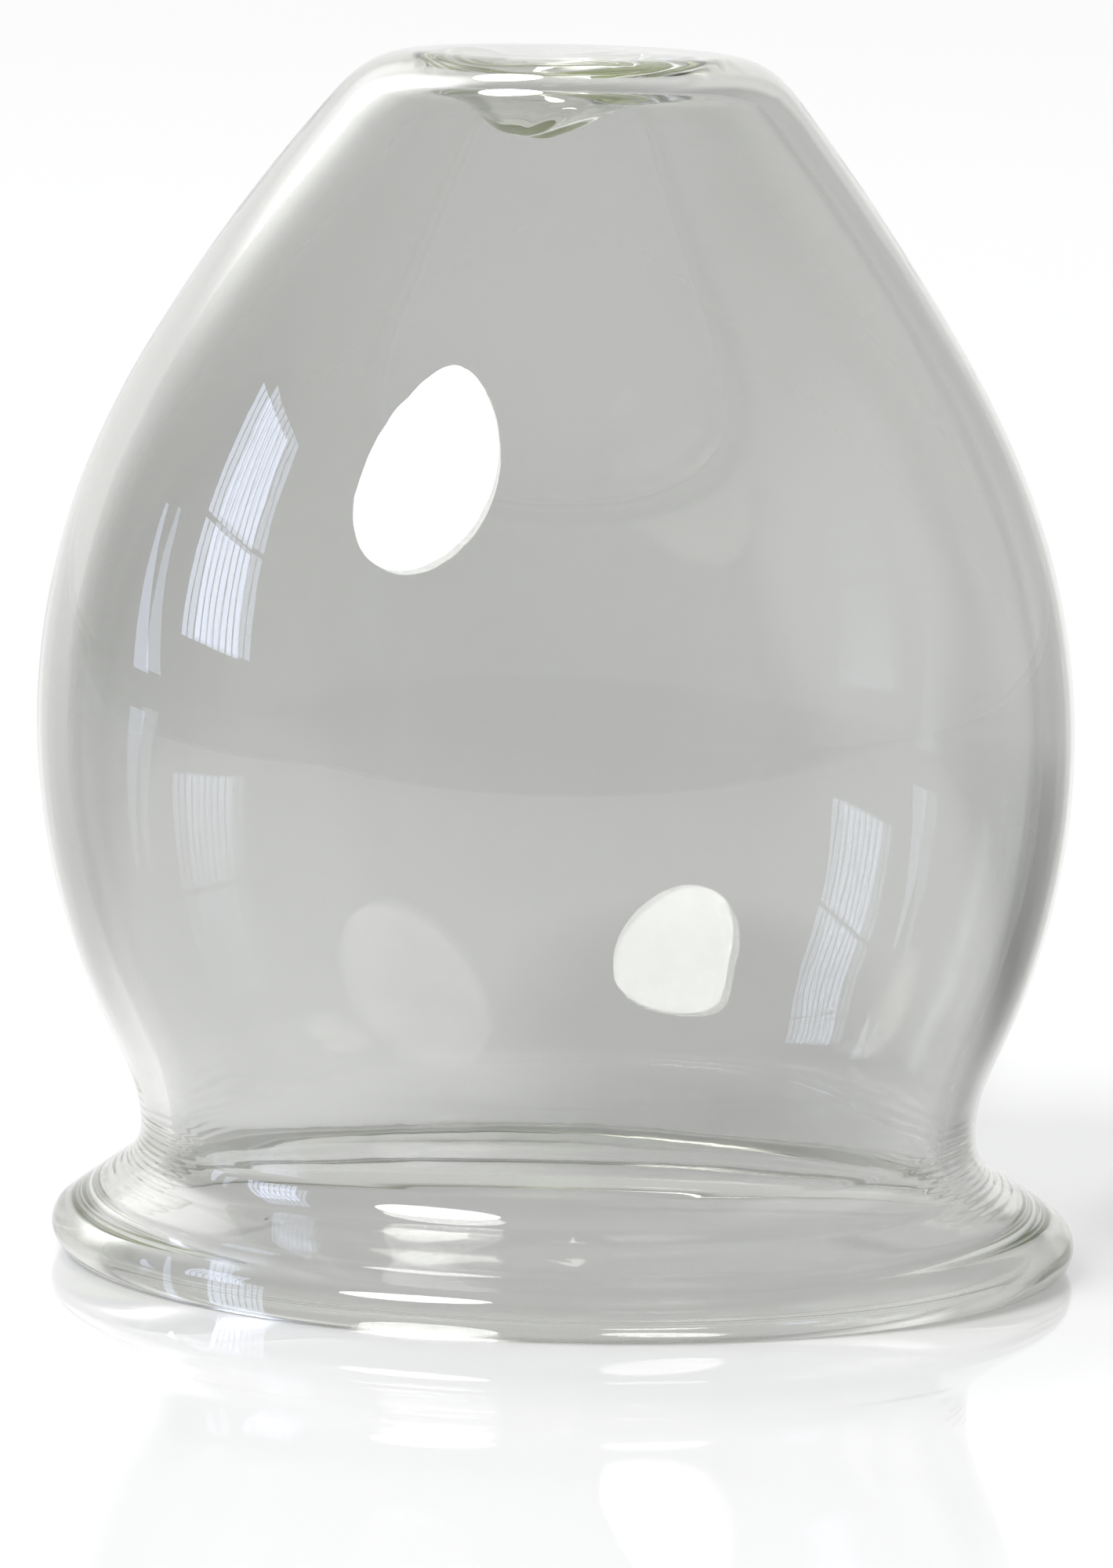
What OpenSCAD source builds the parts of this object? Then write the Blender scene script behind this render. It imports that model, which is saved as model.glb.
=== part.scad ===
// Mouth-blown cupping glass, standing mouth down on its lip.
// The wall is one chain of arcs, each tangent to the next.
// A named piece is the stretch of glass that one step of the glass worker's
// job leaves behind. It is cut square to the wall where the next piece starts.

/* [Lip] */
// Outside diameter of the lip
lip_d = 60; // [57:0.5:64]
// Thickness of the fire-rounded bead round the mouth
bead_d = 3.2; // [2.6:0.1:4]
// Width of the narrow flat on which the bead stands
rest_w = 0.8; // [0.4:0.1:1.2]
// Radius of the blend from the bead to the inside of the wall
blend_r = 1.5; // [0.5:0.1:2.5]

/* [Neck] */
// Outside diameter at the narrowest place
neck_d = 49; // [46:0.5:52]
// Height of the narrowest place above the table
neck_z = 7.5; // [6.8:0.1:9]
// Radius of the hollow curve above the narrowest place
neck_r = 9.8; // [6:0.2:14]
// Radius of the hollow curve that flares out to the lip
flare_r = 2.5; // [1.5:0.1:3.4]

/* [Bowl] */
// Largest outside diameter of the bowl
bowl_d = 60.6; // [57:0.2:65]
// Height of the largest diameter above the table
bowl_z = 31.1; // [28:0.1:34]
// Lean of the wall, from upright, where the belly passes into the flank
flank_lean = 28.8; // [24:0.2:34]
// Radius of the long curve of the flank
flank_r = 111; // [85:1:150]
// Thickness of the blown wall
wall = 1.8; // [1.2:0.1:2.4]

/* [Crown] */
// Height of the whole glass
height = 70.6; // [66:0.2:76]
// Diameter of the flat on top of the crown
crown_d = 17.6; // [15:0.2:22]
// Radius of the shoulder round the crown
shoulder_r = 5.5; // [3:0.1:8]

/* [Seal] */
// Depth of the swelling under the crown, where the bubble was closed
swell_h = 0.9; // [0.5:0.1:1.6]
// Bare margin between the swelling and the shoulder
swell_margin = 0.4; // [0.2:0.1:1.5]
// Depth of the drop that hangs from the crown beside the axis
drop_h = 3.7; // [2.6:0.1:5]
// Diameter of the drop's root
drop_d = 11; // [8:0.2:14]
// Radius of the drop's round tip
tip_r = 1.7; // [0.8:0.1:2]
// Distance from the drop's root to the edge of the swelling, at -X
drop_inset = 0.3; // [0.2:0.1:2]

/* [Hidden] */
$fn = 180;
// Overlap that fuses two stretches of one piece
fuse = 0.01;
glass_tint = [0.80, 0.86, 0.80, 0.45];
thick_tint = [0.66, 0.74, 0.62, 0.6];

// Unit vector at an angle in the profile plane, whose axes are radius and height
function dir(angle) = [cos(angle), sin(angle)];
// Angle of a vector in the profile plane
function heading(v) = atan2(v[1], v[0]);

// Bead: its centre stands so that the table cuts a flat of rest_w
bead_r = bead_d / 2;
bead_c = [lip_d / 2 - bead_r, sqrt(bead_r * bead_r - rest_w * rest_w / 4)];

// Flare: an arc round a centre outside the glass, then a straight cone that is
// the inner common tangent of that arc and the bead
flare_c = [neck_d / 2 + flare_r, neck_z];
flare_to_bead = bead_c - flare_c;
cone_angle = heading(flare_to_bead) - acos((flare_r + bead_r) / norm(flare_to_bead));
cone_in = dir(cone_angle);
cone_up = dir(cone_angle - 90);
cone_start = bead_c - bead_r * cone_in;
cone_run = sqrt(norm(flare_to_bead) ^ 2 - (flare_r + bead_r) ^ 2);

// Blend: a circle that touches the inside of the cone and the bead. It ends
// the lip, and the cone's length limits it.
blend_max = (cone_run ^ 2 / (bead_d - wall) - wall) / 2;
blend = min(blend_r, blend_max);
lip_run = sqrt((bead_d - wall) * (wall + 2 * blend));
blend_c = cone_start + lip_run * cone_up + (wall + blend) * cone_in;

// Neck and lower belly: both arcs stand level at their own diameter, and the
// belly's radius is the one at which they touch
neck_c = [neck_d / 2 + neck_r, neck_z];
neck_to_bowl = [(bowl_d - neck_d) / 2, bowl_z - neck_z];
low_r = neck_to_bowl[1] ^ 2 / (2 * neck_to_bowl[0]) + neck_to_bowl[0] / 2 - neck_r;
low_c = [bowl_d / 2 - low_r, bowl_z];
neck_end = heading(low_c - neck_c);

// Upper belly, flank and shoulder: the flank leaves the belly at flank_lean and
// touches the shoulder. That condition is a quadratic in the belly's radius.
shoulder_c = [crown_d / 2, height - shoulder_r];
lean = dir(flank_lean);
reach = shoulder_c - [bowl_d / 2, bowl_z] + flank_r * lean;
quad_a = 2 - 2 * lean[0];
quad_b = reach[0] * (1 - lean[0]) - reach[1] * lean[1];
quad_c = reach * reach - (flank_r - shoulder_r) ^ 2;
high_r = (-quad_b - sqrt(quad_b ^ 2 - quad_a * quad_c)) / quad_a;
high_c = [bowl_d / 2 - high_r, bowl_z];
flank_c = high_c + (high_r - flank_r) * lean;
flank_end = heading(shoulder_c - flank_c);

// Seal: the swelling is a cap of a large sphere. The drop is a cone that
// touches its round tip, and its root stays inside the swelling.
crown_in = height - wall;
swell_d = crown_d - 2 * swell_margin;
swell_r = (swell_d ^ 2 / 4 + swell_h ^ 2) / (2 * swell_h);
drop_x = -(swell_d - drop_d) / 2 + drop_inset;
tip_c = [0, tip_r - drop_h];
tip_to_root = [drop_d / 2, 0] - tip_c;
tip_angle = heading(tip_to_root) - acos(tip_r / norm(tip_to_root));

// Sector of the profile plane between two angles less than 120 degrees apart
module sector(from, to, size) {
    polygon([[0, 0], 2 * size * dir(from), 2 * size * dir(to)]);
}

// Stretch of wall that bends round a centre, between two radii and two angles
module bent_wall(centre, r_in, r_out, from, to) {
    translate(centre)
        intersection() {
            difference() {
                circle(r = r_out);
                circle(r = r_in);
            }
            sector(from, to, r_out);
        }
}

// Stretch of the straight cone between two distances from the bead
module cone_wall(from, to) {
    polygon([
        cone_start + from * cone_up,
        cone_start + to * cone_up,
        cone_start + to * cone_up + wall * cone_in,
        cone_start + from * cone_up + wall * cone_in
    ]);
}

// The bead is a torus with a narrow flat below. The blend fills the corner
// between the bead and the inside of the wall.
module lip_bead() {
    color(thick_tint)
        rotate_extrude()
            intersection() {
                square([lip_d, height]);
                union() {
                    translate(bead_c) circle(r = bead_r);
                    cone_wall(0, lip_run);
                    difference() {
                        polygon([bead_c, blend_c - (wall + blend) * cone_in, blend_c]);
                        translate(blend_c) circle(r = blend);
                    }
                }
            }
}

// The mouth is opened out from the neck to the lip
module lip_flare() {
    color(glass_tint)
        rotate_extrude()
            union() {
                cone_wall(lip_run, cone_run + fuse);
                bent_wall(flare_c, flare_r, flare_r + wall, -180, cone_angle);
            }
}

// The neck is drawn in with a tool while the glass turns
module neck_ring() {
    color(glass_tint)
        rotate_extrude()
            bent_wall(neck_c, neck_r, neck_r + wall, neck_end, 180);
}

// The belly is the blown bubble: two arcs that meet at the largest diameter
module belly_wall() {
    color(glass_tint)
        rotate_extrude()
            union() {
                bent_wall(low_c, low_r - wall, low_r, neck_end - 180, 0);
                bent_wall(high_c, high_r - wall, high_r, 0, flank_lean);
            }
}

// The flank is the long, nearly straight side above the belly
module flank_wall() {
    color(glass_tint)
        rotate_extrude()
            bent_wall(flank_c, flank_r - wall, flank_r, flank_lean, flank_end);
}

// The shoulder turns the flank into the crown
module shoulder_ring() {
    color(glass_tint)
        rotate_extrude()
            bent_wall(shoulder_c, shoulder_r - wall, shoulder_r, flank_end, 90);
}

// The crown is the flattened end of the bubble
module crown_plate() {
    color(glass_tint)
        translate([0, 0, crown_in])
            cylinder(d = crown_d, h = wall);
}

// Cap of a sphere, hanging below the plane z = 0
module hanging_cap(r, depth) {
    intersection() {
        translate([0, 0, r - depth]) sphere(r = r);
        translate([-r, -r, -depth]) cube([2 * r, 2 * r, depth]);
    }
}

// Cone with a round tip, hanging below the plane z = 0
module hanging_drop() {
    rotate_extrude()
        union() {
            polygon([[0, 0], tip_c, tip_c + tip_r * dir(tip_angle), [drop_d / 2, 0]]);
            intersection() {
                translate(tip_c) circle(r = tip_r);
                translate([0, -drop_h]) square([tip_r, drop_h]);
            }
        }
}

// The seal is the lump left inside the crown where the bubble was closed and
// the waste glass was pulled away
module seal_drop() {
    color(thick_tint)
        translate([0, 0, crown_in])
            union() {
                hanging_cap(swell_r, swell_h);
                translate([drop_x, 0, 0]) hanging_drop();
            }
}

lip_bead();
lip_flare();
neck_ring();
belly_wall();
flank_wall();
shoulder_ring();
crown_plate();
seal_drop();
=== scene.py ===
# %% [markdown]
# A mouth-blown cupping glass, standing mouth down on its lip.
# The real cup is one piece of clear glass, so the lesson builds one closed skin
# and spends its effort on three things: the curve of the wall, the traces that
# the glass worker's tools left on it, and the light that makes glass visible.
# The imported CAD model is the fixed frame. Everything is in metres.

# %% Load the frame
import math

import bpy
import numpy as np
from mathutils import Euler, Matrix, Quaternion, Vector


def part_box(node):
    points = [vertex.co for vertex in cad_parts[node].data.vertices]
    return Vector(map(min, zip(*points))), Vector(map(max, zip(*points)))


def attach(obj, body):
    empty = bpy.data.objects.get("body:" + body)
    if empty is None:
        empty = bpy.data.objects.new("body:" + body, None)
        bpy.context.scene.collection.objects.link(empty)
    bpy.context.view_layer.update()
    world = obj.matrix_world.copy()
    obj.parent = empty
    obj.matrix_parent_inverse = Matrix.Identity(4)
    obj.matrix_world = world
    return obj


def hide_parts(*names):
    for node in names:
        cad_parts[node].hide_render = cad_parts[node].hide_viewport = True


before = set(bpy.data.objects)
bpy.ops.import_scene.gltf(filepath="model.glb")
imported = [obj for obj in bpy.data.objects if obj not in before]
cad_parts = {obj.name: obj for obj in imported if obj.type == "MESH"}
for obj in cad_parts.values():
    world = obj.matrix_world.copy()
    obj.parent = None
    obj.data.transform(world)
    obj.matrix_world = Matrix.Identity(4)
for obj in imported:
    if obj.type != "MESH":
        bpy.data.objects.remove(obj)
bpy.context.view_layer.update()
MM = 0.001
print("CAD nodes:", sorted(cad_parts))

# %% [markdown]
# The camera comes first, because every later choice is judged through it.
# A long lens far away and a short lens close by can frame the same glass, but
# they show the round mouth at the foot with different openings. The distance,
# height and tilt here are the ones at which the outline of the CAD profile lies
# on the outline in the picture. The lens follows from the focal length in pixels,
# and a slight roll sets the lip as far off level as the picture shows it.

# %% Camera
IMAGE_HEIGHT = 2000
FOCAL_PIXELS = 12744
CAMERA_PLACE = (0, -0.5793, 0.1005)
DOWN_DEGREES = 7.146
ROLL_DEGREES = 1.4
camera_data = bpy.data.cameras.new("camera")
camera_data.sensor_fit = "VERTICAL"
camera_data.sensor_height = 36
camera_data.lens = camera_data.sensor_height * FOCAL_PIXELS / IMAGE_HEIGHT
camera_data.clip_start = 0.02
camera = bpy.data.objects.new("camera", camera_data)
camera.location = CAMERA_PLACE
tilt = Euler((math.radians(90 - DOWN_DEGREES), 0, 0)).to_quaternion()
roll = Quaternion((0, 0, 1), math.radians(ROLL_DEGREES))
camera.rotation_euler = (tilt @ roll).to_euler()
bpy.context.scene.collection.objects.link(camera)
bpy.context.scene.camera = camera
bpy.context.scene.view_settings.view_transform = "Standard"
print("lens in mm:", round(camera_data.lens, 1))

# %% [markdown]
# Light that enters the thick edge of the glass is thrown back and forth between
# its faces, a dozen times or more, before it leaves. A renderer follows a ray for
# a set number of such bounces and then paints it black, and more samples wouldn't
# help. So the limits are raised until no black is left in the edge.

# %% Light paths
BOUNCES = 40
light_paths = bpy.context.scene.cycles
light_paths.max_bounces = BOUNCES
light_paths.glossy_bounces = BOUNCES
light_paths.transmission_bounces = BOUNCES
print("bounces followed:", light_paths.max_bounces)

# %% [markdown]
# The wall of a blown bubble has no corners: each curve runs into the next.
# It could be drawn as a Bezier curve by eye, but then every later change would
# need new handles. Here the wall is a chain of circular arcs, each tangent to
# its neighbours, and the centres follow from a few sizes that can be measured.
# The sizes that a CAD node shows are read from the frame, so the skin follows it.

# %% Sizes of the glass
lip_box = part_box("lip_bead")
crown_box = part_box("crown_plate")
belly_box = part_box("belly_wall")
lip_radius = lip_box[1].x
bowl_radius = belly_box[1].x
crown_radius = crown_box[1].x
height = crown_box[1].z
wall = crown_box[1].z - crown_box[0].z
bead_radius = 1.6 * MM
rest_width = 0.8 * MM
blend_radius = 1.5 * MM
neck_radius = 24.5 * MM
neck_height = 7.5 * MM
neck_bend = 9.8 * MM
flare_bend = 2.5 * MM
bowl_height = 31.1 * MM
flank_lean = math.radians(28.8)
flank_bend = 111 * MM
shoulder_bend = 5.5 * MM
print("lip, bowl and crown radius in mm:",
      [round(v / MM, 2) for v in (lip_radius, bowl_radius, crown_radius)])
print("height and wall in mm:", round(height / MM, 2), round(wall / MM, 2))

# %% [markdown]
# Two circles touch on the line through their centres, so each centre follows from
# the one before. At the lip, the straight cone is the line that touches the bead on
# one side and the flare on the other, and a small blend fills the corner between the
# bead and the inside of the cone.


# %% Centres at the lip
def toward(angle):
    """Unit vector in the profile plane: cosine along the radius, sine along the height."""
    return np.array([math.cos(angle), math.sin(angle)])


def heading(vector):
    """Angle of a vector in the profile plane, from its height and radius."""
    return math.atan2(vector[1], vector[0])


bead_level = math.sqrt(bead_radius**2 - rest_width**2 / 4)
bead_centre = np.array([lip_radius - bead_radius, bead_level])
flare_centre = np.array([neck_radius + flare_bend, neck_height])
flare_to_bead = bead_centre - flare_centre
both_bends = flare_bend + bead_radius
cone_angle = heading(flare_to_bead) - math.acos(both_bends / np.linalg.norm(flare_to_bead))
cone_in = toward(cone_angle)
cone_up = toward(cone_angle - math.pi / 2)
cone_run = math.sqrt(flare_to_bead @ flare_to_bead - both_bends**2)
cone_start = bead_centre - bead_radius * cone_in
blend_run = math.sqrt((2 * bead_radius - wall) * (wall + 2 * blend_radius))
blend_centre = cone_start + blend_run * cone_up + (wall + blend_radius) * cone_in
print("length of the cone in mm:", round(cone_run / MM, 2))

# %% [markdown]
# The bowl has two belly arcs that both stand upright at the widest place. The lower
# one has to touch the neck, which gives its radius. The upper one has to meet the
# flank at its lean while the flank touches the shoulder: that is a quadratic.

# %% Centres of the bowl
neck_centre = np.array([neck_radius + neck_bend, neck_height])
rise = np.array([bowl_radius - neck_radius, bowl_height - neck_height])
low_bend = rise[1] ** 2 / (2 * rise[0]) + rise[0] / 2 - neck_bend
low_centre = np.array([bowl_radius - low_bend, bowl_height])
shoulder_centre = np.array([crown_radius, height - shoulder_bend])
lean = toward(flank_lean)
climb = shoulder_centre - [bowl_radius, bowl_height] + flank_bend * lean
quad_a = 2 - 2 * lean[0]
quad_b = climb[0] * (1 - lean[0]) - climb[1] * lean[1]
quad_c = climb @ climb - (flank_bend - shoulder_bend) ** 2
high_bend = (-quad_b - math.sqrt(quad_b**2 - quad_a * quad_c)) / quad_a
high_centre = np.array([bowl_radius - high_bend, bowl_height])
flank_centre = high_centre + (high_bend - flank_bend) * lean
print("belly arcs in mm:", round(low_bend / MM, 2), round(high_bend / MM, 2))

# %% [markdown]
# The skin runs from the middle of the crown down the outside, round the bead at
# the lip and up the inside again, so one line gives the wall both its faces.
# The spacing of the points follows what each stretch has to carry: wide steps on
# the plain belly, and ten points to a millimetre where the tool left fine rings.


# %% The line of the wall
def arc(centre, radius, start, stop, step):
    """Points on a circle: the centre plus the radius times cosine and sine of evenly
    spaced angles. The last angle is left to the next stretch."""
    count = max(2, math.ceil(abs(stop - start) * radius / step))
    angles = np.linspace(start, stop, count, endpoint=False)
    return centre + radius * np.stack([np.cos(angles), np.sin(angles)], axis=1)


def straight(start, stop, step):
    """Points on a line: start plus an even share of the way to stop, which is left out."""
    count = max(2, math.ceil(np.linalg.norm(np.subtract(stop, start)) / step))
    return np.linspace(start, stop, count, endpoint=False)


UP = math.pi / 2
TURN = 2 * math.pi
neck_end = heading(low_centre - neck_centre)
flank_end = heading(shoulder_centre - flank_centre)
blend_end = heading(blend_centre - bead_centre)
print("neck, flank and blend end at degrees:",
      [round(math.degrees(v), 1) for v in (neck_end, flank_end, blend_end)])

# %% Outside, from the crown down to the bead
outer_crown = straight([0.35 * MM, height], [crown_radius, height], 0.7 * MM)
outer_parts = [
    arc(shoulder_centre, shoulder_bend, UP, flank_end, 0.4 * MM),
    arc(flank_centre, flank_bend, flank_end, flank_lean, 0.9 * MM),
    arc(high_centre, high_bend, flank_lean, 0, 0.9 * MM),
    arc(low_centre, low_bend, 0, neck_end - math.pi, 0.7 * MM),
    arc(neck_centre, neck_bend, neck_end, math.pi, 0.35 * MM),
    arc(flare_centre, flare_bend, math.pi, TURN + cone_angle, 0.2 * MM),
]
outer_cone = straight(cone_start + cone_run * cone_up, cone_start, 0.4 * MM)
bead_round = arc(bead_centre, bead_radius, cone_angle + math.pi, blend_end - TURN, 0.22 * MM)
outside_count = sum(len(part) for part in (outer_crown, *outer_parts, outer_cone, bead_round))
print("points outside:", outside_count)

# %% Inside, from the bead up to the crown
blend_start = blend_end + math.pi - TURN
blend_round = arc(blend_centre, blend_radius, blend_start, cone_angle + math.pi, 0.15 * MM)
inner_cone = straight(
    cone_start + blend_run * cone_up + wall * cone_in,
    cone_start + cone_run * cone_up + wall * cone_in, 0.1 * MM)
inner_parts = [
    arc(flare_centre, flare_bend + wall, TURN + cone_angle, math.pi, 0.1 * MM),
    arc(neck_centre, neck_bend + wall, math.pi, neck_end, 0.1 * MM),
    arc(low_centre, low_bend - wall, neck_end - math.pi, 0, 0.7 * MM),
    arc(high_centre, high_bend - wall, 0, flank_lean, 0.9 * MM),
    arc(flank_centre, flank_bend - wall, flank_lean, flank_end, 0.9 * MM),
    arc(shoulder_centre, shoulder_bend - wall, flank_end, UP, 0.3 * MM),
]
crown_under = height - wall
inner_crown = straight([crown_radius, crown_under], [0.12 * MM, crown_under], 0.2 * MM)
print("points inside:", sum(len(part) for part in (blend_round, inner_cone, *inner_parts, inner_crown)))

# %% [markdown]
# Arcs that touch have no corner between them, but the bend changes all at once
# where they meet. Clear glass gives that away: a reflection kinks there, and the
# far rim is seen double. A real bubble is soft when it is blown, and its bends even
# out by themselves. A running mean along the line would do the same, but it also
# shrinks every curve. Twice the mean minus the mean of the mean doesn't.


# %% Running mean
def run_along(line):
    """Way along a line of points: the running sum of the distances between neighbours."""
    steps = np.linalg.norm(np.diff(line, axis=0), axis=1)
    return np.concatenate([[0], np.cumsum(steps)])


def running_mean(line, span):
    """Mean of each point and its neighbours within a span, weighted by a raised cosine.
    The line is carried on past both ends, turned by half a turn about each end."""
    weights = np.hanning(span + 2)[1:-1]
    weights = weights / weights.sum()
    half = span // 2
    longer = np.pad(line, ((half, half), (0, 0)), mode="reflect", reflect_type="odd")
    return np.stack([np.convolve(column, weights, "valid") for column in longer.T], axis=1)


print("way along the outer wall in mm:", round(run_along(np.concatenate(outer_parts))[-1] / MM, 1))


# %% Even bend
def even_bend(line, reach):
    """Twice the running mean of evenly spaced points minus the running mean of that mean,
    read back at the old points. It keeps an even bend, and spreads a sudden change of bend
    over the reach. At both ends it fades into the line as it was."""
    step = 0.1 * MM
    end_fade = 3 * MM
    span = 2 * round(reach / step / 2) + 1
    run = run_along(line)
    even = np.linspace(0, run[-1], round(run[-1] / step) + 1)
    fine = np.stack([np.interp(even, run, column) for column in line.T], axis=1)
    mean = running_mean(fine, span)
    smooth = 2 * mean - running_mean(mean, span)
    moved = np.stack([np.interp(run, even, column) for column in (smooth - fine).T], axis=1)
    share = np.minimum(1, np.minimum(run, run[-1] - run) / end_fade)[:, None]
    return line + share * moved


def ease(value, start, stop):
    """Smooth step: 0 before start, 1 after stop, and 3t squared minus 2t cubed between."""
    t = np.clip((value - start) / (stop - start), 0, 1)
    return t * t * (3 - 2 * t)


print("smooth step at a quarter of the way:", ease(0.25, 0, 1))

# %% [markdown]
# The tight flare can only bear a short reach, and the long bowl wants a wide one,
# because its bend shapes the largest highlight. So the reach changes with the level,
# and slowly, since a quick change would put a new kink where two reaches meet.

# %% The blown wall
FOOT_REACH = 4 * MM
# Each row: the reach, and the levels where it starts and ends to take over, in mm
REACHES = ((10, 8, 11), (28, 18, 34), (6, 50, 58))


def blown_wall(parts):
    """The wall with its bends evened. It has the foot's reach, and each later reach takes
    over from it between two levels: above the neck, on the bowl and at the shoulder."""
    line = np.concatenate(parts)
    level = line[:, 1:]
    even = even_bend(line, FOOT_REACH)
    for reach, first, last in REACHES:
        share = ease(level, first * MM, last * MM)
        even = even + share * (even_bend(line, reach * MM) - even)
    return even


outer_wall = blown_wall(outer_parts)
inner_wall = blown_wall(inner_parts)
profile = np.concatenate([
    outer_crown, outer_wall, outer_cone, bead_round,
    blend_round, inner_cone, inner_wall, inner_crown])
profile[:, 1] = np.maximum(profile[:, 1], 0)
largest_shift = np.abs(outer_wall - np.concatenate(outer_parts)).max()
print("largest shift in mm:", round(largest_shift / MM, 3))

# %% [markdown]
# The line is carried round the axis into a grid: one row for each point of the line
# and one column for each step of the turn. A Screw modifier could do that too, but
# on a grid of numbers every later shape is one formula for all points at once.

# %% Grid of the skin
TURNS = 230
turn = np.linspace(0, TURN, TURNS, endpoint=False)[None, :]
radius = profile[:, 0][:, None]
level = profile[:, 1][:, None]
along = np.gradient(profile, axis=0)
along /= np.linalg.norm(along, axis=1, keepdims=True)
normal_r = -along[:, 1][:, None]
normal_z = along[:, 0][:, None]
travel = run_along(profile)[:, None]
is_inside = (np.arange(len(profile)) >= outside_count)[:, None]
print("length of the line in mm:", round(travel[-1, 0] / MM, 1))

# %% [markdown]
# Hand work shows in small departures from the round. The tool that opened the mouth
# left fine rings inside the neck. They are kept to the two sides, where the picture
# shows them, because in front of the mouth they would blur the far rim. The wall
# also swells and thins by about a hundredth of a millimetre, which the eye sees at
# once as a slight wobble in every reflection. A noise texture on the normals could
# fake that, but real ripples in the mesh bend light twice, once on each face, and look
# right from every side.


# %% Tool rings and hand wobble
def tool_rings():
    """Height of the rings: a sine of the way along the wall, whose phase climbs with the
    turn as a screw does. Smooth steps fade them in above the bead, out below the belly,
    and keep them to the sides, where the cosine of the turn is near 1 or -1."""
    pitch = 0.6 * MM
    start = travel[outside_count + len(blend_round)]
    fade = is_inside * ease(travel, start, start + 1 * MM)
    fade = fade * (1 - ease(level, 7.5 * MM, 10.5 * MM))
    sides = ease(np.abs(np.cos(turn)), 0.84, 0.97)
    return 0.008 * MM * fade * sides * np.sin(TURN * travel / pitch + turn)


def hand_wobble():
    """Slow swelling of the wall: the sum of four waves, each a sine of the turn, some times a
    sine of the way along the wall or shifted by it. The phases inside differ from those
    outside, so that the wall's thickness wanders too."""
    shift = np.where(is_inside, 1.9, 0.0)
    wave = 0.5 * np.sin(2 * turn + 0.6 + shift) * np.sin(travel / (9 * MM) + 0.4)
    wave = wave + 0.3 * np.sin(5 * turn + 2.2 * shift + travel / (14 * MM))
    wave = wave + 0.2 * np.sin(9 * turn - 1.3 + shift) * np.sin(travel / (5 * MM) + 1.7)
    wave = wave + 0.5 * np.sin(3 * turn + 4.0 - shift)
    return np.where(is_inside, 0.007, 0.004) * MM * wave * ease(radius, 2 * MM, 9 * MM)


push = tool_rings() + hand_wobble()
push *= ease(level, 0.1 * MM, 1.5 * MM)
print("largest departure from round in mm:", round(float(np.abs(push).max()) / MM, 4))

# %% [markdown]
# Inside the crown hangs the seal: the place where the bubble was closed and the
# waste glass was twisted off while hot. It is a low swelling with a leaning drop,
# and the twist left folds on one side. It could be a sculpted blob of its own,
# but a second piece inside glass shows its seam. So the seal is part of the skin:
# the inner face of the crown is pulled down by a depth that depends on the place.
# Steep slopes trap the light and turn olive, so only the way from left to right is
# steep, as in the picture, and the drop stays clear when it is seen from the front.

# %% Sizes of the seal
DROP_LEFT = -7.4 * MM
DROP_TIP = -2.6 * MM
DROP_RIGHT = 5.0 * MM
DROP_REACH = 8.6 * MM
SEAL_RADIUS = 9.2 * MM
DOME_DEPTH = 0.9 * MM
DROP_DEPTH = 2.8 * MM
FOLD_DEPTH = 0.07 * MM
RIDGE_ROUND = 0.16
print("drop from left to right in mm:", round((DROP_RIGHT - DROP_LEFT) / MM, 1))


# %% Seal under the crown
def seal_depth(x, y):
    """How far the inner face hangs down. From left to right the drop is a bell: a smooth
    step of the way from its edge to the tip. From front to back it is a gentle ridge: a
    hyperbola, round over the tip and straight further out. Both are multiplied, and faded
    out before the shoulder. A flat dome and a few folds, twisted round one side, are added."""
    from_left = (x - DROP_LEFT) / (DROP_TIP - DROP_LEFT)
    from_right = (DROP_RIGHT - x) / (DROP_RIGHT - DROP_TIP)
    across = np.clip(np.minimum(from_left, from_right), 0, 1)
    away = np.minimum(np.abs(y) / DROP_REACH, 1)
    edge = math.hypot(1, RIDGE_ROUND)
    ridge = (edge - np.hypot(away, RIDGE_ROUND)) / (edge - RIDGE_ROUND)
    ridge = ridge * ease(1 - away, 0, 0.22)
    rim = np.hypot(x, y)
    drop = ease(across, 0, 0.88) * ridge * (1 - ease(rim, 7 * MM, SEAL_RADIUS))
    inward = np.minimum(across, 1 - away)
    around = np.arctan2(0.72 * y, x - DROP_TIP)
    side = ease(np.cos(around + 0.35), 0.1, 0.9)
    band = ease(inward, 0.05, 0.3) * (1 - ease(inward, 0.75, 1))
    folds = side * np.sin(9 * around + 5 * inward) * band
    dome = (1 - np.minimum(rim / SEAL_RADIUS, 1) ** 2) ** 2
    return DOME_DEPTH * dome + DROP_DEPTH * drop + FOLD_DEPTH * folds


x = (radius + push * normal_r) * np.cos(turn)
y = (radius + push * normal_r) * np.sin(turn)
z = level + push * normal_z
under_crown = is_inside & (radius < crown_radius + 0.5 * MM) & (level > crown_under - 0.2 * MM)
z = z - np.where(under_crown, seal_depth(x, y), 0)
tip_depth = height - z[under_crown[:, 0]].min()
print("tip of the seal in mm below the crown:", round(tip_depth / MM, 2))

# %% [markdown]
# The bubble was turned by hand, so it isn't quite upright. The lip stands about a
# millimetre to the right of the axis, and the upper bowl half a millimetre to the
# left. Each level is moved sideways as a whole, along a smooth curve through the
# places of the middle that the picture shows.

# %% Lean of the bowl and the lip
midline_z = np.array([0, 4, 7.5, 14, 31, 45, 60, 66, 70.6])
midline_x = np.array([1.1, 0.9, 0.6, 0.25, -0.1, -0.35, -0.5, -0.4, -0.2])
midline = np.polyfit(midline_z, midline_x, 4)
x = x + MM * np.polyval(midline, z / MM)
points = np.stack([x, y, np.maximum(z, 0)], axis=-1)
print("skin grid:", points.shape)

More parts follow.
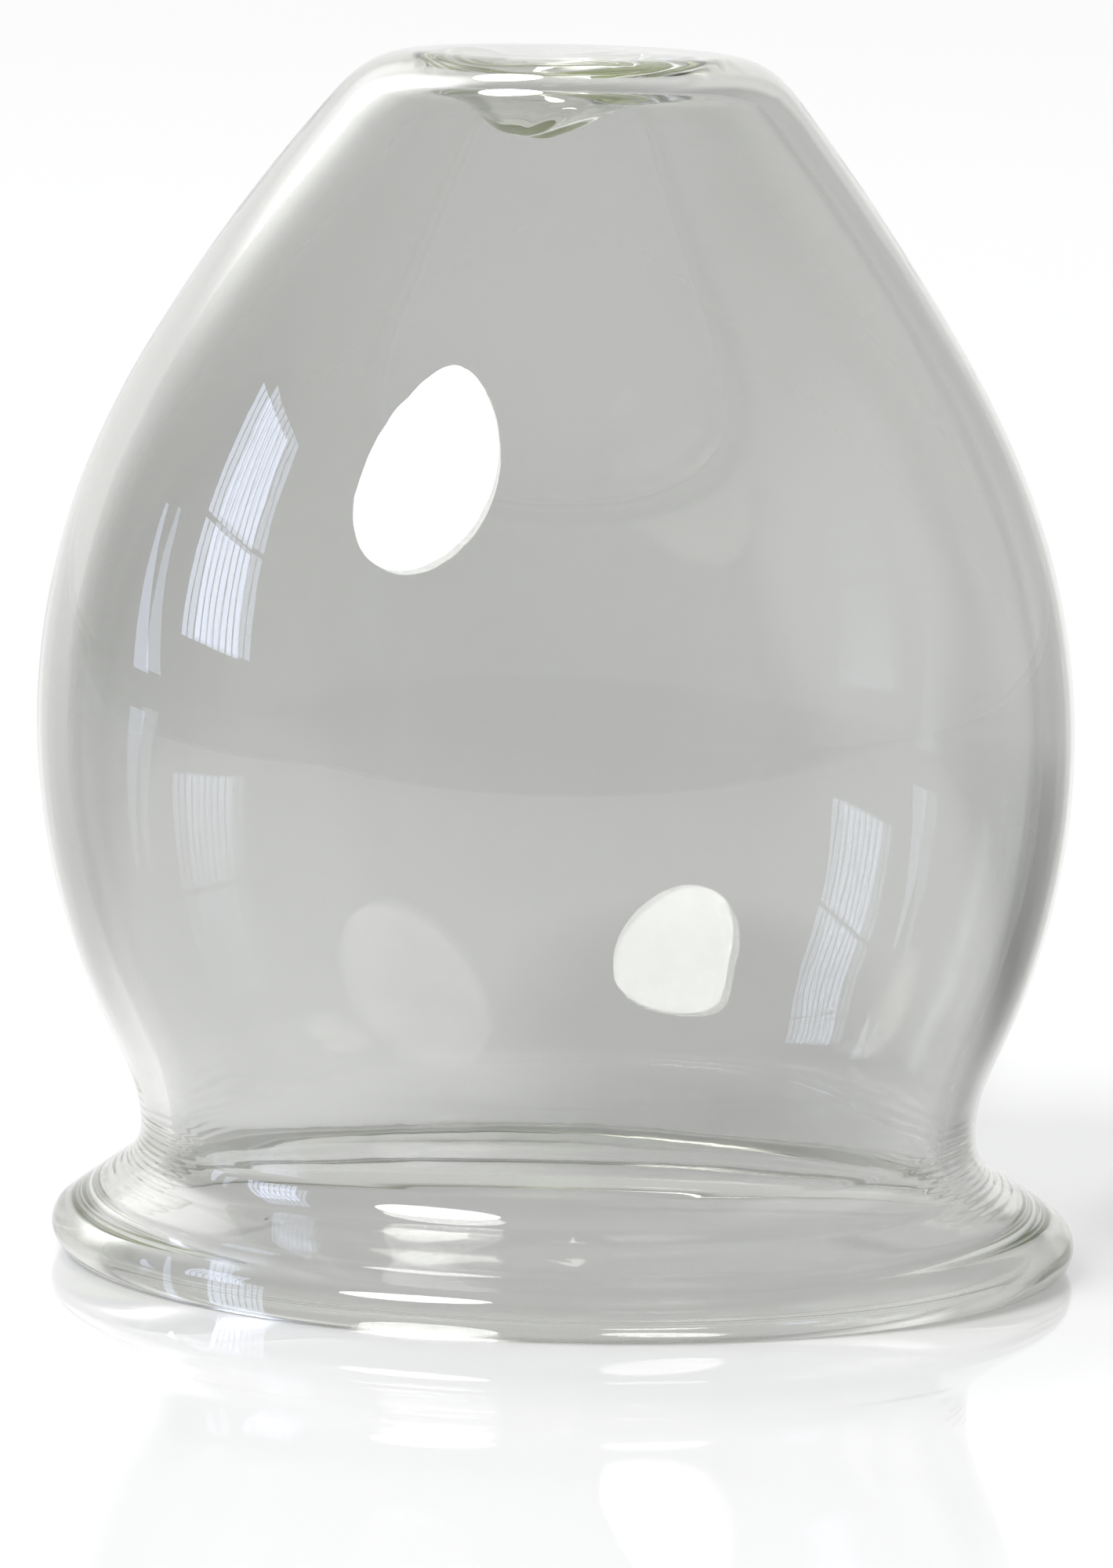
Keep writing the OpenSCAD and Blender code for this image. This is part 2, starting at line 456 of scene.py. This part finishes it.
# %% [markdown]
# The grid becomes one closed mesh, with both faces of the wall in it. Glass needs
# that: light has to meet a face where it enters and another where it leaves. The
# CAD's eight stretches of wall touch each other, and each seam would show as a line
# inside clear glass, so this one skin stands for all of them.


# %% The skin as a mesh
def closed_skin(name, rows):
    """Quads between each ring of the grid and the next, with the last column joined to the
    first, and a fan of triangles from each end ring to a pole at that ring's mean."""
    rings, turns = rows.shape[:2]
    index = np.arange(rings * turns).reshape(rings, turns)
    beside = np.roll(index, -1, axis=1)
    quads = np.stack([index[:-1], index[1:], beside[1:], beside[:-1]], axis=-1).reshape(-1, 4)
    top = rings * turns
    bottom = top + 1
    first = np.stack([np.full(turns, top), index[0], beside[0]], axis=-1)
    last = np.stack([np.full(turns, bottom), beside[-1], index[-1]], axis=-1)
    poles = np.stack([rows[0].mean(axis=0), rows[-1].mean(axis=0)])
    spots = np.concatenate([rows.reshape(-1, 3), poles])
    mesh = bpy.data.meshes.new(name)
    mesh.from_pydata(spots.tolist(), [], quads.tolist() + first.tolist() + last.tolist())
    mesh.polygons.foreach_set("use_smooth", np.ones(len(mesh.polygons), dtype=bool))
    mesh.update()
    return mesh


glass_mesh = closed_skin("blown_glass", points)
glass = bpy.data.objects.new("blown_glass", glass_mesh)
bpy.context.scene.collection.objects.link(glass)
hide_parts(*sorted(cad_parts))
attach(glass, "root")
print("faces:", len(glass_mesh.polygons), "triangles:", 2 * len(glass_mesh.polygons) - 2 * TURNS)

# %% [markdown]
# The glass gets painted shade, a faint grey tint, on all its faces except at the seal, which stays
# clear. The finish has to know where that is. It could work it out from coordinates, but each row of
# the grid already knows its place on the wall, so the share is stored with the points as an attribute.

# %% Where the glass gets painted shade
seal_start = len(profile) - len(inner_crown)
# Share of painted shade on each row of the grid: none at the seal.
shaded = 1 - ease(np.arange(len(profile)), seal_start - len(inner_parts[-1]), seal_start)
pole_shaded = [1, 0]
shaded = np.append(np.repeat(shaded, TURNS), pole_shaded).astype(np.float32)
glass_mesh.attributes.new("shaded", "FLOAT", "POINT").data.foreach_set("value", shaded)
print("share of points that were wiped:", round(float(shaded.mean()), 3))

# %% [markdown]
# Materials are graphs of nodes. Wiring them one by one hides the formula, so a
# small class wraps a socket: plus, minus, times and divide add Math nodes, and one
# method adds any other node. A finish then reads like the formula it stands for.


# %% Shader maths
class Signal:
    """A socket in a node tree. An expression on signals adds the Math nodes for it."""

    def __init__(self, tree, socket=None):
        self.tree = tree
        self.socket = socket

    def node(self, kind, settings=None, sockets=None, output=0):
        """Adds a node of a kind, sets its settings, then fills or links its sockets."""
        made = self.tree.nodes.new(kind)
        for name, value in (settings or {}).items():
            setattr(made, name, value)
        for name, value in (sockets or {}).items():
            if isinstance(value, Signal):
                self.tree.links.new(value.socket, made.inputs[name])
            else:
                made.inputs[name].default_value = value
        return Signal(self.tree, made.outputs[output] if len(made.outputs) else None)

    def math(self, operation, *values):
        """A Math node with that operation on the given values."""
        return self.node("ShaderNodeMath", {"operation": operation}, dict(enumerate(values)))

    def __add__(self, other):
        return self.math("ADD", self, other)

    def __sub__(self, other):
        return self.math("SUBTRACT", self, other)

    def __mul__(self, other):
        return self.math("MULTIPLY", self, other)

    def __truediv__(self, other):
        return self.math("DIVIDE", self, other)

    def __radd__(self, other):
        return self.math("ADD", other, self)

    def __rsub__(self, other):
        return self.math("SUBTRACT", other, self)

    def __rmul__(self, other):
        return self.math("MULTIPLY", other, self)

    def output(self, name):
        """Another output of the node that made this signal."""
        return Signal(self.tree, self.socket.node.outputs[name])

    def blend(self, factor, first, second):
        """A colour between two colours, the first where the factor is 0."""
        sockets = {"Factor": factor, "A": first, "B": second}
        return self.node("ShaderNodeMix", {"data_type": "RGBA"}, sockets, output=2)

    def ease(self, start, stop):
        """Smooth step of this value from 0 at start to 1 at stop."""
        sockets = {"Value": self, "From Min": start, "From Max": stop}
        return self.node("ShaderNodeMapRange", {"interpolation_type": "SMOOTHSTEP"}, sockets)

    def noise(self, place, scale, detail):
        """Noise from 0 to 1 at a place: scale swings to the metre, in detail finer layers."""
        sockets = {"Vector": place, "Scale": scale, "Detail": detail}
        return self.node("ShaderNodeTexNoise", sockets=sockets, output="Fac")


def fresh_tree(owner):
    """An emptied node tree of a material or world, as a starting signal."""
    owner.use_nodes = True
    owner.node_tree.nodes.clear()
    return Signal(owner.node_tree)


print("shader helper ready")

# %% [markdown]
# Clear glass has almost no colour of its own. Where light runs a long way through
# it, in the bead, the neck and the seal, a little iron turns it olive. Volume
# absorption does that: it counts the millimetres that each ray spends in glass.
# The faces carry painted shade: a faint grey tint, a little thinner near the lip, that dims what is
# seen through the two walls and leaves the solid edges bright.

# %% Painted shade in the glass
CLEAR = (1, 1, 1, 1)
SHADE_GREY = (0.6, 0.605, 0.595, 1)
glass_finish = bpy.data.materials.new("clear_glass")
start = fresh_tree(glass_finish)
place = start.node("ShaderNodeTexCoord", output="Object")
height_z = start.node("ShaderNodeSeparateXYZ", sockets={"Vector": place}, output="Z")
shaded_face = start.node("ShaderNodeAttribute", {"attribute_name": "shaded"}, output="Fac")
cloud = start.noise(place, 45.0, 3.0)
above_lip = 0.8 + 0.2 * height_z.ease(0.003, 0.02)
# Painted shade: a grey tint that dims what is seen through the walls.
glass_shade = shaded_face * above_lip * (0.62 + 0.15 * cloud)
shaded_tint = start.blend(glass_shade, CLEAR, SHADE_GREY)
print("nodes so far:", len(glass_finish.node_tree.nodes))

# %% [markdown]
# No blown glass is perfect. Faint streaks were drawn out along the wall, a few tiny
# bubbles, which glass workers call seeds, stayed in it as dark specks, fingers left
# duller smudges, and the ring on which the lip stands is ground dull by use.

# %% Streaks, seeds and smudges
SEED_DARK = (0.05, 0.05, 0.045, 1)
DRAWN_OUT = (1, 1, 0.05)
stretch = start.node("ShaderNodeMapping", sockets={"Vector": place, "Scale": DRAWN_OUT})
streaks = start.noise(stretch, 420.0, 2.0)
cell = start.node("ShaderNodeTexVoronoi", sockets={"Vector": place, "Scale": 130.0})
cell_pick = start.node("ShaderNodeSeparateColor", sockets={"Color": cell.output("Color")})
seeds = (1 - cell.ease(0.012, 0.028)) * cell_pick.math("GREATER_THAN", cell_pick, 0.86)
tint = start.blend(seeds * 0.75, shaded_tint, SEED_DARK)
rest_wear = 1 - height_z.ease(0.0001, 0.0009)
smudge = cloud.ease(0.56, 0.75)
dull = 0.002 + 0.02 * smudge + 0.22 * rest_wear
relief = start.node("ShaderNodeBump", sockets={
    "Height": streaks, "Strength": 0.025, "Distance": 0.0002})
print("nodes with wear:", len(glass_finish.node_tree.nodes))

# %% Glass shader
OLIVE = (0.635, 0.7, 0.32, 1)
surface = start.node("ShaderNodeBsdfPrincipled", sockets={
    "Base Color": tint, "Roughness": dull, "Normal": relief,
    "IOR": 1.5, "Transmission Weight": 1.0})
depth = start.node("ShaderNodeVolumeAbsorption", sockets={"Color": OLIVE, "Density": 15.0})
start.node("ShaderNodeOutputMaterial", sockets={"Surface": surface, "Volume": depth})
glass_mesh.materials.append(glass_finish)
print("glass finish:", len(glass_finish.node_tree.nodes), "nodes")

# %% [markdown]
# Glass is seen by what is around it. The stage is a wide sheet of white paper, a
# little glossy, so that the glass stands on its own faint mirror image. The sheet
# ends in front of the glass, on a grey table, and the belly mirrors that edge.
# Behind the glass a painted shade darkens the paper towards both sides, and a painted shadow of the
# glass lies in an oval spot just behind it: the walls bend the view, so these painted shades draw the
# soft dark edges of the bowl.


# %% Painted shade of the paper
def side_shade(tree, spot):
    """Painted shade: how much darker the sheet is at a spot. Smooth steps of the way aside over the way
    back give the two sides, and one of the squared distance gives an oval of painted shadow behind the
    glass."""
    spot_x = tree.node("ShaderNodeSeparateXYZ", sockets={"Vector": spot})
    spot_y = spot_x.output("Y")
    aside = spot_x / (spot_y + 0.08)
    right_depth = 0.75 - 0.2 * spot_y.ease(0.12, 0.3)
    # Painted shade towards both sides, deeper on the right close to the glass.
    both_sides = right_depth * aside.ease(0.3, 0.4) + 0.42 * (-1 * aside).ease(0.3, 0.4)
    oval_x = (spot_x - 0.012) / 0.018
    oval_y = (spot_y - 0.085) / 0.06
    # Painted shadow of the glass, in an oval just behind it.
    oval = 1 - (oval_x * oval_x + oval_y * oval_y).ease(0.2, 1.3)
    return both_sides * spot_y.ease(0, 0.045) + 0.25 * oval


print("shade of the paper ready")

# %% [markdown]
# The paper has to look white without flooding the glass with light. So what the
# camera sees of it, directly, mirrored or through glass, is partly its own white,
# and the rest is the light and shade that fall on it.


# %% Finish of the sheets
BLACK = (0, 0, 0, 1)


def pale_finish(name, tone, own_tone, shade):
    """A lit, slightly glossy surface with the painted shades of the sheet, mixed with its own tone for
    the rays from the camera, from a mirror or through glass."""
    finish = bpy.data.materials.new(name)
    tree = fresh_tree(finish)
    spot = tree.node("ShaderNodeTexCoord", output="Object")
    darker = side_shade(tree, spot) * shade
    lit_tone = tree.blend(darker, tone, BLACK)
    seen_tone = tree.blend(darker, own_tone, BLACK)
    grain = tree.noise(spot, 3.0, 2.0)
    lit = tree.node("ShaderNodeBsdfPrincipled", sockets={
        "Base Color": lit_tone, "Roughness": 0.012 + 0.02 * grain, "Specular IOR Level": 0.5})
    plain = tree.node("ShaderNodeEmission", sockets={"Color": seen_tone, "Strength": 1.0})
    ray = tree.node("ShaderNodeLightPath", output="Is Camera Ray")
    bent = ray.math("MAXIMUM", ray.output("Is Glossy Ray"), ray.output("Is Transmission Ray"))
    seen = ray.math("MAXIMUM", ray, bent)
    both = tree.node("ShaderNodeMixShader", sockets={0: seen * 0.25, 1: lit, 2: plain})
    tree.node("ShaderNodeOutputMaterial", sockets={"Surface": both})
    finish.cycles.emission_sampling = "NONE"
    return finish


WHITE = (1, 1, 1, 1)
PAPER_TONE = (0.82, 0.82, 0.82, 1)
TABLE_TONE = (0.3, 0.3, 0.3, 1)
white_paper = pale_finish("white_paper", PAPER_TONE, WHITE, 1.0)
grey_table = pale_finish("grey_table", TABLE_TONE, TABLE_TONE, 0.2)
print("finishes:", white_paper.name, grey_table.name)


# %% Paper and table
def flat_sheet(name, corners, level, finish):
    """A sheet with the given corners at one level."""
    mesh = bpy.data.meshes.new(name)
    mesh.from_pydata([(*corner, level) for corner in corners], [], [range(len(corners))])
    mesh.materials.append(finish)
    sheet = bpy.data.objects.new(name, mesh)
    bpy.context.scene.collection.objects.link(sheet)
    return sheet


PAPER_CORNERS = [(-0.27, -0.225), (6, -1.165), (20, 20), (-20, 20), (-0.46, 0.2)]
TABLE_CORNERS = [(-12, -12), (12, -12), (12, 19), (-12, 19)]
paper = flat_sheet("paper", PAPER_CORNERS, 0, white_paper)
table = flat_sheet("table", TABLE_CORNERS, -0.001, grey_table)
print("sheets:", paper.name, table.name)

# %% [markdown]
# Two lamps make the highlights that show the form. An oval softbox high on the left
# gives the egg on the belly and its upside-down twin on the far wall, and it is turned
# about its own axis until the egg leans as in the picture. A smaller round one
# overhead catches the lip. Each stands along the direction in which the wall mirrors
# it to the camera, and far away, so that its light is even over the glass.

# %% Softboxes
GLASS_MIDDLE = Vector((0, 0, 0.035))


def softbox(name, direction, distance, size, roll, brightness, colour):
    """An oval area lamp that faces the glass, turned about its own axis by a roll. Its power
    grows with its area, so that a larger lamp looks as bright as a smaller one."""
    across, along_roll = size
    lamp = bpy.data.lights.new(name, "AREA")
    lamp.shape = "ELLIPSE"
    lamp.size = across
    lamp.size_y = along_roll
    lamp.energy = brightness * math.pi * math.pi * across * along_roll / 4
    lamp.color = colour
    carrier = bpy.data.objects.new(name, lamp)
    aim = Vector(direction).normalized()
    facing = aim.to_track_quat("Z", "Y") @ Quaternion((0, 0, 1), math.radians(-roll))
    carrier.location = aim * distance + GLASS_MIDDLE
    carrier.rotation_euler = facing.to_euler()
    bpy.context.scene.collection.objects.link(carrier)
    return round(lamp.energy, 1)


key_watts = softbox(
    "key_softbox", direction=(-0.472, -0.6, 0.646), distance=6.0,
    size=(2.81, 3.4), roll=47.6, brightness=16.0, colour=(1, 1, 1))
top_watts = softbox(
    "top_softbox", direction=(-0.2, 0.38, 0.9), distance=5.6,
    size=(1.37, 1.37), roll=0, brightness=13.0, colour=(1, 0.99, 0.97))
print("key and overhead lamp in W:", key_watts, top_watts)

# %% [markdown]
# A tall window far to the left gives the bluish panes on the left of the belly, and
# the far wall mirrors it once more, upside down, on the right. It has two sashes
# behind a blind of upright slats, and a narrow strip of light beside it. A picture
# of a window on one large lamp could do the same, but separate shining panes keep
# their edges sharp in the mirror of the glass.

# %% Shape of the window
WINDOW_X = -2.0
WINDOW_LEAN = 0.25
SLATS = 9
slat_share = np.arange(SLATS)[:, None] + np.array([0.1, 0.9])
slat_y = -0.44 + 0.64 / SLATS * slat_share
sash_z = np.array([[0.28, 0.79], [0.82, 1.42]])
slat_left, sash_low = np.meshgrid(slat_y[:, 0], sash_z[:, 0])
slat_right, sash_high = np.meshgrid(slat_y[:, 1], sash_z[:, 1])
pane_y = np.stack([slat_left, slat_right, slat_right, slat_left], axis=-1)
pane_z = np.stack([sash_low, sash_low, sash_high, sash_high], axis=-1)
leaning_y = pane_y + WINDOW_LEAN * (pane_z - 0.75)
window = np.stack([np.full(pane_y.shape, WINDOW_X), leaning_y, pane_z], axis=-1)
strip_yz = np.array([(0.4, 0.07), (0.6, 0.07), (0.77, 0.7), (0.72, 0.7)])
strip = np.insert(strip_yz, 0, WINDOW_X, axis=1)
print("sashes and slats:", window.shape[:2])


# %% Panes of light
def light_panes(name, corners, colour, strength):
    """Flat panes that shine, four corners each."""
    corners = corners.reshape(-1, 4, 3)
    faces = np.arange(4 * len(corners)).reshape(-1, 4)
    mesh = bpy.data.meshes.new(name)
    mesh.from_pydata(corners.reshape(-1, 3).tolist(), [], faces.tolist())
    panes = bpy.data.objects.new(name, mesh)
    bpy.context.scene.collection.objects.link(panes)
    finish = bpy.data.materials.new(name)
    tree = fresh_tree(finish)
    shine = tree.node("ShaderNodeEmission", sockets={"Color": colour, "Strength": strength})
    tree.node("ShaderNodeOutputMaterial", sockets={"Surface": shine})
    mesh.materials.append(finish)
    return len(corners)


DAYLIGHT = (0.68, 0.75, 1, 1)
window_panes = light_panes("window", window, DAYLIGHT, strength=6.5)
strip_panes = light_panes("strip", strip, DAYLIGHT, strength=3.5)
print("panes of the window and the strip:", window_panes, strip_panes)

# %% [markdown]
# The room is a soft grey world. It is bright behind the glass, where a white wall
# would stand, with a lit patch of wall on the right and a glow at the back left. It is
# dimmer overhead, and nearly dark on the camera's side. The belly mirrors the paper's
# edge and the dark beyond it twice, once on each wall, and where the two cross they
# leave the dark lens across the middle of the glass.

# %% Directions in the room
room = bpy.data.worlds.new("room")
bpy.context.scene.world = room
sky = fresh_tree(room)
gaze = sky.node("ShaderNodeTexCoord", output="Generated")
gaze_x = sky.node("ShaderNodeSeparateXYZ", sockets={"Vector": gaze})
gaze_y = gaze_x.output("Y")
gaze_z = gaze_x.output("Z")


def lobe(direction, start, stop):
    """Soft patch of the room: the cosine between gaze and direction, eased from start to stop."""
    sockets = {0: gaze, 1: direction}
    cosine = sky.node("ShaderNodeVectorMath", {"operation": "DOT_PRODUCT"}, sockets, output="Value")
    return cosine.ease(start, stop)


print("room nodes so far:", len(room.node_tree.nodes))

# %% Glow of the room
back_wall = gaze_y.ease(-0.1, 0.5) * gaze_x.ease(-0.85, -0.6)
back_wall = back_wall * (0.85 - 0.45 * gaze_x.ease(0.25, 0.36))
right_wall = 0.25 * gaze_x.ease(0.2, 0.7) + 0.9 * lobe((0.92, -0.16, 0.35), 0.84, 0.97)
left_glow = 1.3 * lobe((-0.42, 0.735, 0.53), 0.94, 0.995)
overhead = gaze_z.ease(0.45, 0.9)
glow = (0.1 + back_wall + right_wall) * (1 - overhead) + 0.55 * overhead + left_glow
backdrop = sky.node("ShaderNodeBackground", sockets={"Color": WHITE, "Strength": glow})
sky.node("ShaderNodeOutputWorld", sockets={"Surface": backdrop})
print("room nodes:", len(room.node_tree.nodes))
